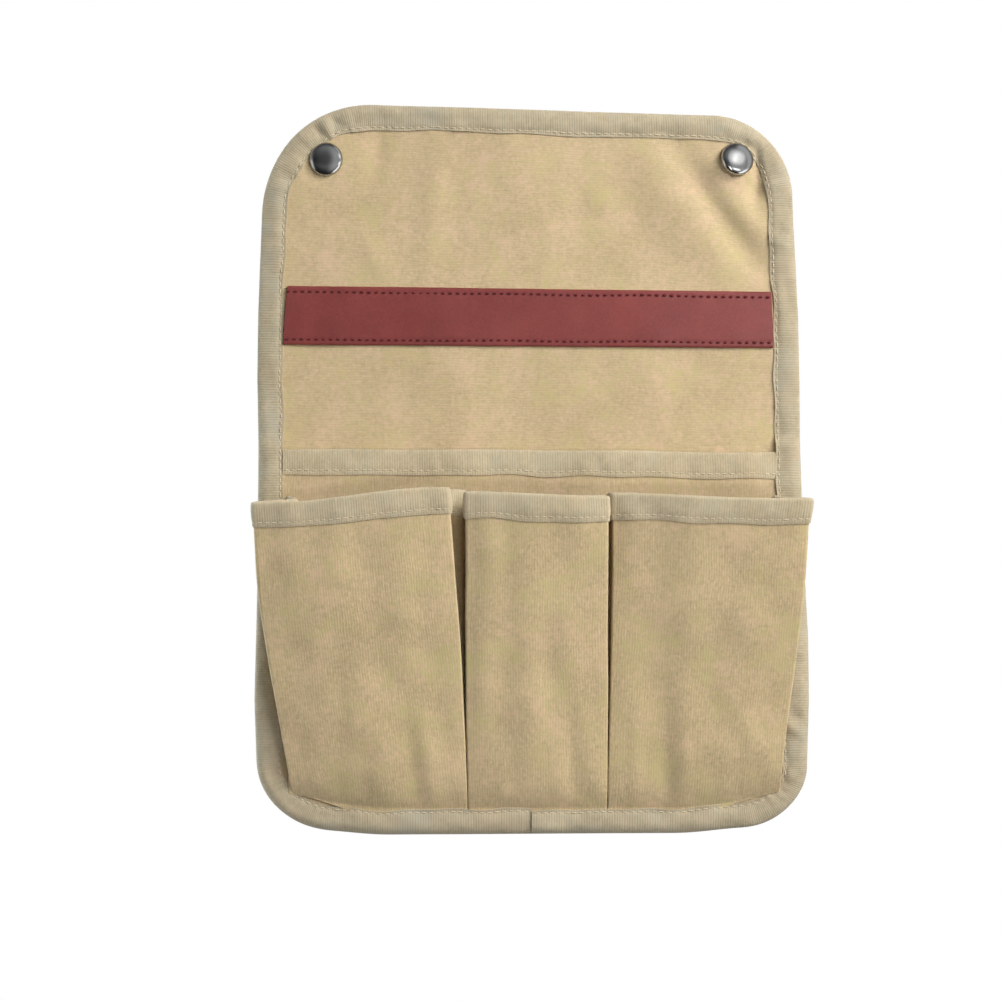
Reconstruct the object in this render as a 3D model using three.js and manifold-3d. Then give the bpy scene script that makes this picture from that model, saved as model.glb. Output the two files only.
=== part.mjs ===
// Camping chair side bag: a bound canvas panel with one flat pocket and three bellows pockets.
// Its flap folds back over the arm of a chair at the leather band and snaps behind the panel.
// The bag hangs with +Z up and its pockets facing -Y. The origin is the middle of the fold line,
// on the back face of the canvas. Lengths are in millimetres.
import * as THREE from "three";
import { mergeVertices } from "three/addons/utils/BufferGeometryUtils.js";
import Module from "manifold-3d";

const wasm = await Module();
wasm.setup();

// Panel and fold
const panelWidth = 240; // over the binding
const panelHeight = 320; // over the binding
const foldBelowTop = 93;
const topCornerRadius = 42;
const bottomCornerRadius = 34;
const canvasThickness = 1;

// Binding tape and leather band
const tapeWidth = 11; // on each face
const tapeThickness = 0.6;
const bandHeight = 25;
const bandThickness = 1.4;

// Flat pocket and bellows pockets
const flatPocketBelowFold = 58;
const mouthBelowFlatTop = 20.7;
const mouthDepth = 22; // between the flat pocket and the corners of the mouth
const mouthBow = 2.5; // more at the middle of the mouth
const seamRoll = 3; // how far the cloth rolls forward over the bottom seam
const seamRollHeight = 8;
const middlePocketWidth = 61.8;
const middlePocketShift = 2.4; // to the right of the panel's middle
const mouthFlare = 12; // the outer corners of the mouths stand outside their seams
const leftPocketLean = 8; // the left mouth stands away from the middle one
const mouthParting = 0.9; // the other mouths stand away from their seams
const cornerRise = 6; // the bottom seam climbs towards the rounded corners
const cornerRun = 52;
const gussetSlack = 6; // cloth that stays pleated in each gusset at rest

// Snap fasteners
const snapAngle = 56.2; // degrees, where they stand on the round of the top corners
const snapFromBinding = 1.1;
const capDiameter = 14.8;
const capHeight = 3;
const capRimHeight = 0.9;
const studDiameter = 11.6;
const studHeadHeight = 0.4;
const studHeadLip = 0.5; // around the neck
const studWall = 0.3;
const postDiameter = 1.8;
const postHeadDiameter = 9;
const postHeadThickness = 0.8;
const snapPlateThickness = 0.7; // base of the socket and flange of the stud
const socketRim = 1.7; // around the cup
const socketWall = 1;
const socketLip = 0.6; // between the spring and the mouth
const springDepth = 0.9; // how deep the spring's groove is
const springThickness = 0.6;
const springOpening = 70; // degrees left open in the ring
const flareThickness = 0.4;
const flareLip = 0.4; // around the barrel's hole

// Clearances
const sewingClearance = 0.3; // between layers that are sewn together
const snapClearance = 0.3; // between the metal parts of a snap
const foldGap = 0.6; // between the halves of what folds

// Places that follow from the sizes
const topZ = foldBelowTop;
const bottomZ = foldBelowTop - panelHeight;
const halfWidth = panelWidth / 2;
const canvasInset = tapeThickness + sewingClearance;
const innerEdgeX = halfWidth - tapeWidth;
const flatPocketRoom = postHeadThickness + sewingClearance + tapeThickness;
const flatBackY = -canvasThickness - flatPocketRoom;
const flatFrontY = flatBackY - canvasThickness;
const flatTopZ = -flatPocketBelowFold;
const seamZ = bottomZ + tapeWidth + sewingClearance;
const seamDepth = tapeThickness + sewingClearance;
const pocketHeight = flatTopZ - mouthBelowFlatTop - seamZ; // from the seam to the edge of the canvas
const leanSlope = (mouthDepth - seamDepth - seamRoll) / pocketHeight;
const outerSeamX = innerEdgeX - 2 * sewingClearance;
const leftSeamX = middlePocketShift - middlePocketWidth / 2;
const rightSeamX = middlePocketShift + middlePocketWidth / 2;
const gussetHalf = canvasThickness / 2;
const gussetBindingHalf = gussetHalf + sewingClearance + tapeThickness;
const snapReach = topCornerRadius - tapeWidth - capDiameter / 2 - snapFromBinding;
const snapTurn = THREE.MathUtils.degToRad(snapAngle);
const snapX = halfWidth - topCornerRadius + snapReach * Math.cos(snapTurn);
const snapZ = topZ - topCornerRadius + snapReach * Math.sin(snapTurn);
const postHole = postDiameter / 2 + snapClearance;
const neckRadius = postHole + studWall;
const headRadius = neckRadius + studHeadLip;
const cavityRadius = headRadius + 2 * snapClearance;
const flareRadius = cavityRadius - snapClearance;
const barrelHole = flareRadius - flareLip;
const flareY = snapPlateThickness + flareThickness;
const springY = flareY + snapClearance + studHeadHeight + snapClearance;
const grooveLowY = springY - snapClearance;
const grooveHighY = springY + springThickness + snapClearance;
const socketHeight = grooveHighY + socketLip;
const closedGap = socketHeight + snapPlateThickness + snapClearance;
const arcSteps = 10;
const roundSteps = 28;
const domeSteps = 5;
const frontColumns = 12;
const gussetSteps = 8;
const rollShares = [0, 0.15, 0.4, 1]; // rows of a pocket's front over the seam's roll
const beyond = 5; // how far a cutting solid passes what it cuts

// Finishes
const finishes = {
  canvas: { color: 0xccb48c, roughness: 0.95, metalness: 0 },
  tape: { color: 0xb9a98a, roughness: 0.9, metalness: 0 },
  leather: { color: 0x83433f, roughness: 0.5, metalness: 0 },
  metal: { color: 0x5b5c5c, roughness: 0.22, metalness: 1 },
};

const bag = new THREE.Group();

function addPiece(name, finish, geometry, x = 0, z = 0) {
  const mesh = new THREE.Mesh(geometry, new THREE.MeshStandardMaterial(finishes[finish]));
  mesh.name = name;
  mesh.position.set(x, 0, z);
  bag.add(mesh);
}

// Solids from geometry, for cutting and joining
function toSolid(geometry) {
  const bare = geometry.index ? geometry.toNonIndexed() : geometry.clone();
  bare.deleteAttribute("normal");
  bare.deleteAttribute("uv");
  const merged = mergeVertices(bare, 1e-4);
  return new wasm.Manifold(
    new wasm.Mesh({
      numProp: 3,
      vertProperties: merged.attributes.position.array,
      triVerts: new Uint32Array(merged.index.array),
    }),
  );
}

function toGeometry(solid) {
  const mesh = solid.getMesh();
  const geometry = new THREE.BufferGeometry();
  geometry.setAttribute("position", new THREE.BufferAttribute(mesh.vertProperties, 3));
  geometry.setIndex(new THREE.BufferAttribute(mesh.triVerts, 1));
  return geometry;
}

function cut(geometry, ...tools) {
  const solid = tools.reduce((left, tool) => left.subtract(toSolid(tool)), toSolid(geometry));
  return toGeometry(solid);
}

function join(first, second) {
  return toGeometry(toSolid(first).add(toSolid(second)));
}

function keepInside(geometry, tool) {
  return toGeometry(toSolid(geometry).intersect(toSolid(tool)));
}

// A flat piece of an outline drawn in X and Z, between two planes square to Y.
function plate(outline, frontY, backY) {
  const geometry = new THREE.ExtrudeGeometry(outline, {
    depth: backY - frontY,
    bevelEnabled: false,
    curveSegments: arcSteps,
  });
  return geometry.rotateX(Math.PI / 2).translate(0, backY, 0);
}

function rectangle(left, right, low, high) {
  const outline = new THREE.Shape();
  outline.moveTo(left, low);
  outline.lineTo(right, low);
  outline.lineTo(right, high);
  outline.lineTo(left, high);
  outline.closePath();
  return outline;
}

// The panel below the fold, drawn in by an inset, up to a height.
function lowerOutline(inset, high) {
  const half = halfWidth - inset;
  const low = bottomZ + inset;
  const radius = bottomCornerRadius - inset;
  const outline = new THREE.Shape();
  outline.moveTo(-half, high);
  outline.lineTo(-half, low + radius);
  outline.absarc(radius - half, low + radius, radius, Math.PI, 1.5 * Math.PI, false);
  outline.absarc(half - radius, low + radius, radius, 1.5 * Math.PI, 2 * Math.PI, false);
  outline.lineTo(half, high);
  outline.closePath();
  return outline;
}

// The flap above the fold, drawn in by an inset, down to a height.
function upperOutline(inset, low) {
  const half = halfWidth - inset;
  const high = topZ - inset;
  const radius = topCornerRadius - inset;
  const outline = new THREE.Shape();
  outline.moveTo(half, low);
  outline.lineTo(half, high - radius);
  outline.absarc(half - radius, high - radius, radius, 0, 0.5 * Math.PI, false);
  outline.absarc(radius - half, high - radius, radius, 0.5 * Math.PI, Math.PI, false);
  outline.lineTo(-half, low);
  outline.closePath();
  return outline;
}

function roundHole(x, z, radius) {
  const outline = new THREE.Shape();
  outline.absarc(x, z, radius, 0, 2 * Math.PI, false);
  return plate(outline, -canvasThickness - beyond, beyond);
}

// A closed solid skinned over matching loops of points and capped at both ends. The first half
// of each loop runs along one face of the cloth or tape, the second half back along the other.
function loft(loops) {
  const count = loops[0].length;
  const index = [];
  const addQuad = (a, b, c, d) => index.push(a, b, c, a, c, d);
  for (let i = 0; i + 1 < loops.length; i++) {
    for (let j = 0; j < count; j++) {
      const a = i * count + j;
      const b = i * count + ((j + 1) % count);
      addQuad(a, b, b + count, a + count);
    }
  }
  const last = (loops.length - 1) * count;
  for (let k = 0; k + 1 < count / 2; k++) {
    const corners = [k, k + 1, count - 2 - k, count - 1 - k];
    addQuad(...corners.map((corner) => last + corner));
    addQuad(...corners.reverse());
  }
  const points = loops.flat();
  if (signedVolume(points, index) < 0) index.reverse();
  const geometry = new THREE.BufferGeometry().setFromPoints(points);
  geometry.setIndex(index);
  return geometry;
}

function signedVolume(points, index) {
  let volume = 0;
  for (let i = 0; i < index.length; i += 3) {
    const [a, b, c] = index.slice(i, i + 3).map((k) => points[k]);
    volume += a.dot(b.clone().cross(c)) / 6;
  }
  return volume;
}

const fromTo = THREE.MathUtils.lerp;

// A round piece turned about Y. Its profile is [radius, y] from front to back.
function turned(profile) {
  return new THREE.LatheGeometry(
    profile.map(([radius, y]) => new THREE.Vector2(radius, y)),
    roundSteps,
  );
}

// Canvas, leather band and edge binding
function addPanels() {
  const lower = plate(lowerOutline(canvasInset, -foldGap / 2), -canvasThickness, 0);
  const upper = plate(upperOutline(canvasInset, foldGap / 2), -canvasThickness, 0);
  const postHoles = [-snapX, snapX].map((x) => roundHole(x, -snapZ, postHole));
  const barrelHoles = [-snapX, snapX].map((x) => roundHole(x, snapZ, barrelHole));
  addPiece("back_panel", "canvas", cut(lower, ...postHoles));
  addPiece("flap_panel", "canvas", cut(upper, ...barrelHoles));
}

function addLeatherBand() {
  const end = innerEdgeX - sewingClearance;
  const frontY = -canvasThickness - bandThickness;
  const lower = rectangle(-end, end, -bandHeight / 2, -foldGap / 2);
  const upper = rectangle(-end, end, foldGap / 2, bandHeight / 2);
  addPiece("leather_band_lower", "leather", plate(lower, frontY, -canvasThickness));
  addPiece("leather_band_upper", "leather", plate(upper, frontY, -canvasThickness));
}

// The tape is folded over the edge: one leg in front, one behind, and its fold outside the edge.
// Below the top of the flat pocket it also takes in that pocket's canvas.
function addEdgeBinding() {
  const backY = tapeThickness;
  const panelFrontY = -canvasThickness - tapeThickness;
  const pocketFrontY = flatFrontY - tapeThickness;
  const foldZ = foldGap / 2;
  const aboveFold = foldZ + beyond;

  const upper = cut(
    plate(upperOutline(0, foldZ), panelFrontY, backY),
    plate(upperOutline(canvasInset, foldZ - beyond), -canvasThickness, 0),
    plate(upperOutline(tapeWidth, foldZ - beyond), panelFrontY - beyond, backY + beyond),
  );
  addPiece("flap_edge_binding", "tape", upper);

  const around = join(
    plate(lowerOutline(0, -foldZ), panelFrontY, backY),
    plate(lowerOutline(0, flatTopZ), pocketFrontY, backY),
  );
  const lower = cut(
    around,
    plate(lowerOutline(canvasInset, aboveFold), -canvasThickness, 0),
    plate(lowerOutline(canvasInset, flatTopZ - canvasInset), flatFrontY, -canvasThickness),
    plate(lowerOutline(tapeWidth, aboveFold), pocketFrontY - beyond, backY + beyond),
  );
  const wide = halfWidth + beyond;
  const half = (left, right) =>
    plate(
      rectangle(left, right, bottomZ - beyond, aboveFold),
      pocketFrontY - beyond,
      backY + beyond,
    );
  const ends = sewingClearance / 2; // the tape's two ends meet at the middle of the bottom edge
  addPiece("edge_binding_left", "tape", keepInside(lower, half(-wide, -ends)));
  addPiece("edge_binding_right", "tape", keepInside(lower, half(ends, wide)));
}

// The flat pocket's canvas is sewn to the panel along its margins, with room behind it
// for the heads of the stud posts.
function addFlatPocket() {
  const edgeZ = flatTopZ - canvasInset;
  const cloth = plate(lowerOutline(canvasInset, edgeZ), flatFrontY, -canvasThickness);
  const room = plate(lowerOutline(tapeWidth, edgeZ + beyond), flatBackY, -canvasThickness + beyond);
  addPiece("flat_pocket_panel", "canvas", cut(cloth, room));

  const end = innerEdgeX - sewingClearance;
  const lowZ = flatTopZ - tapeWidth;
  const insideZ = edgeZ + sewingClearance;
  const section = [
    [flatFrontY - tapeThickness, lowZ],
    [flatFrontY - tapeThickness, flatTopZ],
    [flatBackY + tapeThickness, flatTopZ],
    [flatBackY + tapeThickness, lowZ],
    [flatBackY, lowZ],
    [flatBackY, insideZ],
    [flatFrontY, insideZ],
    [flatFrontY, lowZ],
  ];
  const loops = [-end, end].map((x) => section.map(([y, z]) => new THREE.Vector3(x, y, z)));
  addPiece("flat_pocket_binding", "tape", loft(loops));
}

// Bellows pockets: the seam and the mouth of each, from left to right
const pockets = [
  {
    name: "left_pocket",
    seam: [-outerSeamX, leftSeamX - sewingClearance],
    mouth: [-outerSeamX - mouthFlare, leftSeamX - leftPocketLean],
    gussetRoots: [-innerEdgeX, leftSeamX],
  },
  {
    name: "middle_pocket",
    seam: [leftSeamX + sewingClearance, rightSeamX - sewingClearance],
    mouth: [leftSeamX + mouthParting, rightSeamX - mouthParting],
    gussetRoots: [leftSeamX, rightSeamX],
  },
  {
    name: "right_pocket",
    seam: [rightSeamX + sewingClearance, outerSeamX],
    mouth: [rightSeamX + mouthParting, outerSeamX + mouthFlare],
    gussetRoots: [rightSeamX, innerEdgeX],
  },
];

// How far the back of a pocket's front stands from the flat pocket, at a height above the seam
// and a place from -1 to 1 across the pocket.
function pocketDepth(height, across) {
  const rolled = 1 - Math.min(height / seamRollHeight, 1);
  const roll = seamRoll * Math.sqrt(1 - rolled * rolled);
  const bow = (mouthBow * (1 - across * across) * height) / pocketHeight;
  return seamDepth + roll + leanSlope * height + bow;
}

function edgeX(pocket, side, height) {
  return fromTo(pocket.seam[side], pocket.mouth[side], height / pocketHeight);
}

// How far the bottom of a pocket's front lies above the seam, towards the panel's corners.
function seamRise(x) {
  const into = Math.max(0, Math.abs(x) - (outerSeamX - cornerRun)) / cornerRun;
  return cornerRise * into * into;
}

// A point of a pocket's front, or behind it by a distance.
function frontPoint(pocket, share, height, behind) {
  const x = fromTo(edgeX(pocket, 0, height), edgeX(pocket, 1, height), share);
  const y = flatFrontY - pocketDepth(height, 2 * share - 1) + behind;
  return new THREE.Vector3(x, y, seamZ + height);
}

function addPocketFront(pocket) {
  const columns = Array.from({ length: frontColumns + 1 }, (_, i) => i / frontColumns);
  const rows = rollShares.map((share) => (share * seamRollHeight) / pocketHeight);
  const shares = [...rows, 0.5, 1];
  const cloth = columns.map((share) => {
    const low = seamRise(fromTo(...pocket.seam, share));
    const heights = shares.map((s) => fromTo(low, pocketHeight, s));
    const back = heights.map((height) => frontPoint(pocket, share, height, 0));
    const front = heights.map((height) => frontPoint(pocket, share, height, -canvasThickness));
    return [...back, ...front.reverse()];
  });
  addPiece(pocket.name + "_front", "canvas", loft(cloth));

  const low = pocketHeight - tapeWidth;
  const inside = pocketHeight + sewingClearance;
  const high = inside + tapeThickness;
  const innerFront = -canvasThickness - sewingClearance;
  const outerFront = innerFront - tapeThickness;
  const innerBack = sewingClearance;
  const outerBack = innerBack + tapeThickness;
  const section = [
    [outerFront, low],
    [outerFront, high],
    [outerBack, high],
    [outerBack, low],
    [innerBack, low],
    [innerBack, inside],
    [innerFront, inside],
    [innerFront, low],
  ];
  const tape = columns.map((share) =>
    section.map(([behind, height]) => frontPoint(pocket, share, height, behind)),
  );
  addPiece(pocket.name + "_binding", "tape", loft(tape));
}

// What a gusset needs at a height: the room at its front and at its root, and the rounding of
// its pleat. They grow from the bare canvas at the bottom to the taped edge at the mouth.
function gussetRooms(height) {
  const share = height / pocketHeight;
  const bare = sewingClearance + gussetHalf;
  const taped = sewingClearance + gussetBindingHalf;
  return {
    front: fromTo(bare, seamDepth + taped, share),
    root: fromTo(seamDepth + gussetHalf, taped, share),
    rounding: fromTo(canvasThickness + sewingClearance, 2 * (canvasThickness + sewingClearance), share),
  };
}

// Where a gusset starts at the pocket's front and ends at its root, at a height.
function gussetEnds(pocket, side, height) {
  const inward = side === 0 ? 1 : -1;
  const rooms = gussetRooms(height);
  const frontX = edgeX(pocket, side, height) + inward * gussetBindingHalf;
  const frontY = flatFrontY - pocketDepth(height, 1) + rooms.front;
  const rootX = pocket.gussetRoots[side] + inward * (sewingClearance + gussetBindingHalf);
  const rootY = flatFrontY - rooms.root;
  return { front: new THREE.Vector2(frontX, frontY), root: new THREE.Vector2(rootX, rootY), inward };
}

// A gusset's section at a height: a pleat whose fold points into the pocket, with a half
// thickness, and reaching past its ends by a distance.
function gussetSection(pocket, side, height, half, past) {
  const { front, root, inward } = gussetEnds(pocket, side, height);
  const mouth = gussetEnds(pocket, side, pocketHeight);
  const width = mouth.root.y - mouth.front.y + gussetSlack;
  const { rounding } = gussetRooms(height);
  const leg = (width - rounding) / 2;
  const halfSpan = (root.y - front.y - rounding) / 2;
  const fold = Math.sqrt(leg * leg - halfSpan * halfSpan);
  const crest = front.clone().lerp(root, 0.5);
  crest.x += inward * fold;
  const line = [
    front,
    new THREE.Vector2(crest.x, crest.y - rounding / 2),
    new THREE.Vector2(crest.x, crest.y + rounding / 2),
    root,
  ];
  const steps = line.slice(1).map((point, i) => point.clone().sub(line[i]).normalize());
  line[0].addScaledVector(steps[0], -past);
  line[3].addScaledVector(steps[2], past);
  const offset = (point, i, distance) => {
    const before = steps[Math.max(i - 1, 0)];
    const after = steps[Math.min(i, 2)];
    const middle = before.clone().add(after).normalize();
    const stretch = distance / middle.dot(before);
    return new THREE.Vector2(-middle.y, middle.x).multiplyScalar(stretch).add(point);
  };
  const one = line.map((point, i) => offset(point, i, half));
  const other = line.map((point, i) => offset(point, i, -half)).reverse();
  return [...one, ...other].map((p) => new THREE.Vector3(p.x, p.y, seamZ + height));
}

function gussetWall(pocket, side, heights, half, past) {
  const loops = heights.map((height) => gussetSection(pocket, side, height, half, past));
  return loft(loops);
}

function addGussets(pocket) {
  const heights = Array.from({ length: gussetSteps + 1 }, (_, i) =>
    fromTo(seamRollHeight, pocketHeight, i / gussetSteps),
  );
  const inside = pocketHeight + sewingClearance;
  const tapeHeights = [pocketHeight - tapeWidth, inside + tapeThickness];
  const slotHeights = [pocketHeight - tapeWidth - beyond, inside];
  ["left", "right"].forEach((word, side) => {
    const name = `${pocket.name}_${word}_gusset`;
    addPiece(name, "canvas", gussetWall(pocket, side, heights, gussetHalf, 0));
    const tape = gussetWall(pocket, side, tapeHeights, gussetBindingHalf, 0);
    const slot = gussetWall(pocket, side, slotHeights, gussetHalf + sewingClearance, tapeThickness);
    addPiece(name + "_binding", "tape", cut(tape, slot));
  });
}

// Snap fasteners: a cap and a socket with its spring on the flap, a stud and its post on the panel
function addSnaps() {
  const faceY = -canvasThickness;
  const capRadius = capDiameter / 2;
  const barrelRadius = barrelHole - snapClearance;
  const domeHeight = capHeight - capRimHeight;
  const dome = Array.from({ length: domeSteps + 1 }, (_, i) => {
    const angle = (i / domeSteps) * 0.5 * Math.PI;
    return [capRadius * Math.sin(angle), faceY - capRimHeight - domeHeight * Math.cos(angle)];
  });
  const cap = turned([
    ...dome,
    [capRadius, faceY],
    [barrelRadius, faceY],
    [barrelRadius, snapPlateThickness],
    [flareRadius, snapPlateThickness],
    [flareRadius, flareY],
    [0, flareY],
  ]);

  const grooveRadius = cavityRadius + springDepth;
  const cupRadius = grooveRadius + socketWall;
  const baseRadius = cupRadius + socketRim;
  const socket = turned([
    [barrelHole, 0],
    [baseRadius, 0],
    [baseRadius, snapPlateThickness],
    [cupRadius, flareY],
    [cupRadius, socketHeight],
    [cavityRadius, socketHeight],
    [cavityRadius, grooveHighY],
    [grooveRadius, grooveHighY],
    [grooveRadius, grooveLowY],
    [cavityRadius, grooveLowY],
    [cavityRadius, snapPlateThickness],
    [barrelHole, snapPlateThickness],
    [barrelHole, 0],
  ]);

  const halfOpening = THREE.MathUtils.degToRad(springOpening) / 2;
  const springInner = neckRadius + snapClearance;
  const springOuter = grooveRadius - snapClearance;
  const ring = new THREE.Shape();
  ring.absarc(0, 0, springOuter, halfOpening, 2 * Math.PI - halfOpening, false);
  ring.absarc(0, 0, springInner, 2 * Math.PI - halfOpening, halfOpening, true);
  ring.closePath();
  const spring = plate(ring, springY, springY + springThickness);

  const headTopY = closedGap - flareY - snapClearance;
  const neckTopY = headTopY - studHeadHeight;
  const stud = turned([
    [postHole, 0],
    [studDiameter / 2, 0],
    [studDiameter / 2, snapPlateThickness],
    [neckRadius, snapPlateThickness],
    [neckRadius, neckTopY],
    [headRadius, neckTopY],
    [neckRadius, headTopY],
    [0, headTopY],
    [0, neckTopY],
    [postHole, neckTopY],
    [postHole, 0],
  ]);
  const postHeadY = faceY - postHeadThickness;
  const postEndY = neckTopY - snapClearance;
  const post = turned([
    [0, postHeadY],
    [postHeadDiameter / 2, postHeadY],
    [postHeadDiameter / 2, faceY],
    [postDiameter / 2, faceY],
    [postDiameter / 2, postEndY],
    [0, postEndY],
  ]);

  for (const [word, x] of [["left", -snapX], ["right", snapX]]) {
    addPiece("snap_cap_" + word, "metal", cap, x, snapZ);
    addPiece("snap_socket_" + word, "metal", socket, x, snapZ);
    addPiece("snap_spring_" + word, "metal", spring, x, snapZ);
    addPiece("snap_stud_" + word, "metal", stud, x, -snapZ);
    addPiece("stud_post_" + word, "metal", post, x, -snapZ);
  }
}

addPanels();
addLeatherBand();
addEdgeBinding();
addFlatPocket();
for (const pocket of pockets) {
  addPocketFront(pocket);
  addGussets(pocket);
}
addSnaps();

export default bag;
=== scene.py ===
import math

import bpy
import numpy as np
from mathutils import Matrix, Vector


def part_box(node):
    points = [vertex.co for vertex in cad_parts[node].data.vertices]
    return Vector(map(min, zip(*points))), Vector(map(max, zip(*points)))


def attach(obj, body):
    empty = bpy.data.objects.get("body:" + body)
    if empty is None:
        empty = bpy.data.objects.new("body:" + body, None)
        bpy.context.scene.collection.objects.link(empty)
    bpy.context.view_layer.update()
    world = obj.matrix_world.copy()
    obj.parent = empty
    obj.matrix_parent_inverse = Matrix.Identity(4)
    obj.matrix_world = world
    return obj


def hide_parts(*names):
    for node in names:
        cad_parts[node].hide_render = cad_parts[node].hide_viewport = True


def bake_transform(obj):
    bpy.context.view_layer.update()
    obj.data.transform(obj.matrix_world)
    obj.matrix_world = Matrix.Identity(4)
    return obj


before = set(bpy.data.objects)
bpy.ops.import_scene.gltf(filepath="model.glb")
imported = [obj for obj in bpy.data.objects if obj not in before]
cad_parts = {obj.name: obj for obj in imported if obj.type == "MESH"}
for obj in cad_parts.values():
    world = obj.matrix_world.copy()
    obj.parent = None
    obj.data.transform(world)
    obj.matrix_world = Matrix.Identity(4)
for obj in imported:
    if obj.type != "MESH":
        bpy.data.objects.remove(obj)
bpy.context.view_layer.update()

MM = 0.001

# Sizes of the solids, in millimetres
HALF_WIDTH = 120.0
TOP = 93.0
BOTTOM = -227.0
CANVAS = 1.0
TAPE = 0.6
TAPE_WIDTH = 11.0
BAND_HALF = 12.5
BAND_THICKNESS = 1.4
FLAT_FRONT = -3.7
FLAT_TOP = -58.0
SEAM = -215.7
POCKET_HEIGHT = 137.0
INNER_EDGE = HALF_WIDTH - TAPE_WIDTH
SNAP_X = 90.5
SNAP_Z = 69.7

# Sizes of the dressed pieces and of the zones where their cloth bends, in millimetres
PLEAT_WIDTH = 27.0
PLEAT_ROOT = FLAT_FRONT - 0.75
FLAT_STEP = 7.5
PANEL_INSET = 2.4
FLAT_INSET = 2.6
BAND_STITCH_Z = 10.3
TAPE_FOLD = 3.4
MOUTH_TAPE_LOW = 0.6 - TAPE_WIDTH
MOUTH_STITCH_UP = 2.1

# Stitches: pitch, length and thickness, and how far they stand off the tape
EDGE_SEWING = (3.2, 2.4, 0.62)
BAND_SEWING = (3.2, 1.9, 1.3)
MOUTH_SEWING = (3.1, 2.2, 0.55)
STITCH_RISE = TAPE / 2 + 0.08

# Corner radii of the panel: bottom right, top right, top left, bottom left
CORNER_RADII = (29.0, 35.0, 50.0, 33.0)

# Name of the map of a sheet's own cloth, which the canvas and tape finishes read
MAP = "cloth"


def smooth(value, low, high):
    share = np.clip((value - low) / (high - low), 0, 1)
    return share * share * (3 - 2 * share)


def ripple(x, z, length, seed, waves=9):
    """Smooth uneven waves, about that long, mostly between -1 and 1."""
    draw = np.random.default_rng(seed)
    total = 0
    for turn, stretch, shift in draw.random((waves, 3)):
        pace = 2 * math.pi / (length * (0.7 + 0.8 * stretch))
        along = x * math.cos(2 * math.pi * turn) + z * math.sin(2 * math.pi * turn)
        total = total + np.sin(pace * along + 2 * math.pi * shift)
    return total / math.sqrt(waves)


def crease(x, z, start, end, width, height):
    """A soft ridge, or a valley where height is negative, along a line."""
    (x0, z0), (x1, z1) = start, end
    run_x, run_z = x1 - x0, z1 - z0
    along = ((x - x0) * run_x + (z - z0) * run_z) / (run_x**2 + run_z**2)
    held = np.clip(along, 0, 1)
    away = (x - x0 - held * run_x) ** 2 + (z - z0 - held * run_z) ** 2
    fade = 0.35 + 0.65 * np.sin(math.pi * np.clip(held, 0.05, 0.95))
    return height * fade * np.exp(-away / width**2)


# Shape of the cloth

# Creases of the panel: start and end as (x, z), width and height
PANEL_CREASES = [
    ((68, 78), (106, 20), 6.5, -3.4),
    ((84, 62), (110, 34), 6.0, 2.2),
    ((56, 72), (88, 20), 8.0, 1.5),
    ((40, 68), (58, 26), 8.0, -1.3),
    ((101, 75), (104, 50), 3.2, -2.2),
    ((-41, 76), (-46, 18), 5.5, 1.2),
    ((-30, 70), (-34, 24), 6.0, -0.9),
    ((-76, 36), (-62, 12), 4.5, 1.0),
    ((-102, 34), (-76, 46), 5.0, -1.1),
    ((-66, 84), (-71, 60), 4.5, -1.3),
    ((20, 74), (26, 20), 9.0, -1.0),
    ((-8, 84), (-4, 36), 8.0, 0.9),
    ((55, -16), (62, -54), 7.0, 0.8),
    ((-50, -14), (-56, -52), 7.0, -0.8),
    ((88, -18), (78, -50), 6.0, -0.7),
]

# Creases beside the right snap, where the cloth has settled
SNAP_CREASES = [
    ((98.9, 77), (101, 55), 2.2, -1.9),
    ((83.0, 66.5), (88.0, 61.5), 6.0, 2.0),
]

# Waves of the panel: height, length and seed
PANEL_WAVES = [(0.7, 95, 3), (0.3, 38, 4), (0.08, 15, 6)]
PANEL_SLACK = 0.65


def from_snap(x, z, level):
    """Distance of a place on the flat pattern from the nearer snap at that level."""
    new_x, new_z = settle(x, z)
    return np.hypot(np.abs(new_x) - SNAP_X, new_z - level)


def lift(x, z):
    """How far the panel's cloth stands forward of its flat place."""
    waves = sum(height * ripple(x, z, length, seed) for height, length, seed in PANEL_WAVES)
    waves = waves + 0.35 * np.sin(x / 9.5 + 0.6 * ripple(x, z, 120, 5)) * smooth(z, 10, 60)
    folds = sum(crease(x, z, *line) for line in PANEL_CREASES)
    below = 1 - 0.7 * smooth(-z, 45, 75)
    band = 1 - 0.45 * (1 - smooth(np.abs(z), 12, 22))
    held = smooth(from_snap(x, z, SNAP_Z), 6.5, 15) * smooth(from_snap(x, z, -SNAP_Z), 5, 14)
    total = PANEL_SLACK * (waves + folds) * held * below * band
    for line in SNAP_CREASES:
        total = total + crease(*settle(x, z), *line)
    return total


# How the sewn bag has drawn in or spread: height, share of the width, shifts and slope
SETTLED = np.array([
    (-250.0, 1.008, 0.0, 0.0, -0.006),
    (-227.0, 1.008, 0.0, 0.0, -0.006),
    (-196.0, 1.008, 0.1, 0.0, -0.004),
    (-168.0, 1.015, 0.0, 0.0, -0.002),
    (-142.0, 1.011, 0.2, 0.0, -0.001),
    (-120.0, 1.004, -0.1, 0.0, -0.001),
    (-90.0, 0.997, -0.6, 0.0, 0.0),
    (-58.0, 0.992, -1.0, 0.0, 0.0),
    (-27.0, 0.994, -1.4, 0.0, 0.004),
    (0.0, 0.990, -1.5, 0.0, 0.0092),
    (20.0, 0.983, -1.6, -0.1, 0.014),
    (44.0, 0.974, -1.7, -0.3, 0.022),
    (70.0, 0.967, -1.8, -0.8, 0.029),
    (93.0, 0.964, -1.9, -1.5, 0.031),
])


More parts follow.
